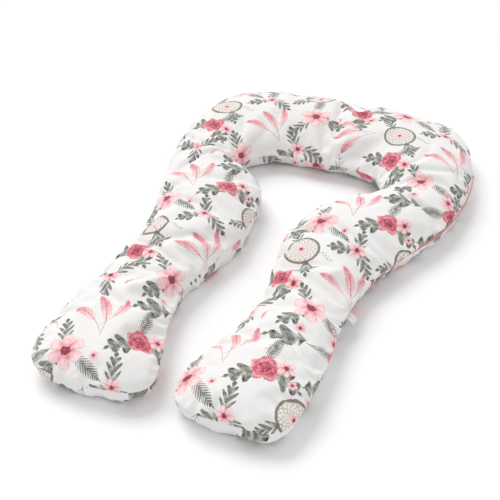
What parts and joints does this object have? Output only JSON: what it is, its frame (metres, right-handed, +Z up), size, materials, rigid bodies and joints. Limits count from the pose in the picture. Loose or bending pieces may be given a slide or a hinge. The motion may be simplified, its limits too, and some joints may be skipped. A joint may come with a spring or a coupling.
{
  "type": "nursing pillow",
  "caption": "Long U-shaped nursing pillow with a printed zip-off cotton cover over a stuffed inner, resting flat with both legs bent slightly inward.",
  "frame": {"origin": "on the floor under the middle of the back bar", "axes": "+Z up; the bar runs along X; both legs run toward -Y; +X is the side with the zipper"},
  "size_m": [0.814, 1.3113, 0.119],
  "materials": {
    "printed_cotton": "matte",
    "liner_cloth": "matte",
    "fibre_filling": "matte",
    "zipper_tape": "matte",
    "zipper_coil": "satin",
    "painted_slider": "satin",
    "pull_plastic": "matte",
    "label_tape": "satin"
  },
  "bodies": {
    "bar": {"cover_top_bar": "printed_cotton", "cover_bottom_bar": "printed_cotton", "liner_top_bar": "liner_cloth", "liner_bottom_bar": "liner_cloth", "filling_bar": "fibre_filling"},
    "left_leg": {"cover_top_left_leg": "printed_cotton", "cover_bottom_left_leg": "printed_cotton", "liner_top_left_leg": "liner_cloth", "liner_bottom_left_leg": "liner_cloth", "filling_left_leg": "fibre_filling"},
    "right_leg": {"cover_top_right_leg": "printed_cotton", "cover_bottom_right_leg": "printed_cotton", "liner_top_right_leg": "liner_cloth", "liner_bottom_right_leg": "liner_cloth", "filling_right_leg": "fibre_filling", "zipper_tape_upper": "zipper_tape", "zipper_tape_lower": "zipper_tape", "zipper_coil_upper": "zipper_coil", "zipper_coil_lower": "zipper_coil", "zipper_stop_closed_end": "zipper_coil", "zipper_stop_open_end": "zipper_coil"},
    "slider": {"zipper_slider": "painted_slider"},
    "pull_tab": {"zipper_pull_tab": "pull_plastic"},
    "label": {"side_label": "label_tape"}
  },
  "joints": [
    {"name": "left_leg_flex", "type": "hinge", "parent": "bar", "child": "left_leg", "pos_m": [-0.306, -0.134, 0], "axis": [0, 0, -1], "range_deg": [-1, 22], "stiffness_Nm_per_rad": 1.5},
    {"name": "right_leg_flex", "type": "hinge", "parent": "bar", "child": "right_leg", "pos_m": [0.306, -0.134, 0], "axis": [0, 0, 1], "range_deg": [-1, 27], "stiffness_Nm_per_rad": 1.5},
    {"name": "zipper_travel", "type": "hinge", "parent": "right_leg", "child": "slider", "pos_m": [-0.38759, -0.17433, 0.045], "axis": [0, 0, 1], "range_deg": [0, 39.9]},
    {"name": "pull_tab_swing", "type": "hinge", "parent": "slider", "child": "pull_tab", "pos_m": [0.27681, -0.61743, 0.044], "axis": [-0.5548, -0.832, 0], "range_deg": [0, 150]},
    {"name": "label_flex", "type": "hinge", "parent": "right_leg", "child": "label", "pos_m": [0.25614, -0.75051, 0.045], "axis": [-0.0314, -0.9995, 0], "range_deg": [-40, 40], "stiffness_Nm_per_rad": 0.0005}
  ]
}
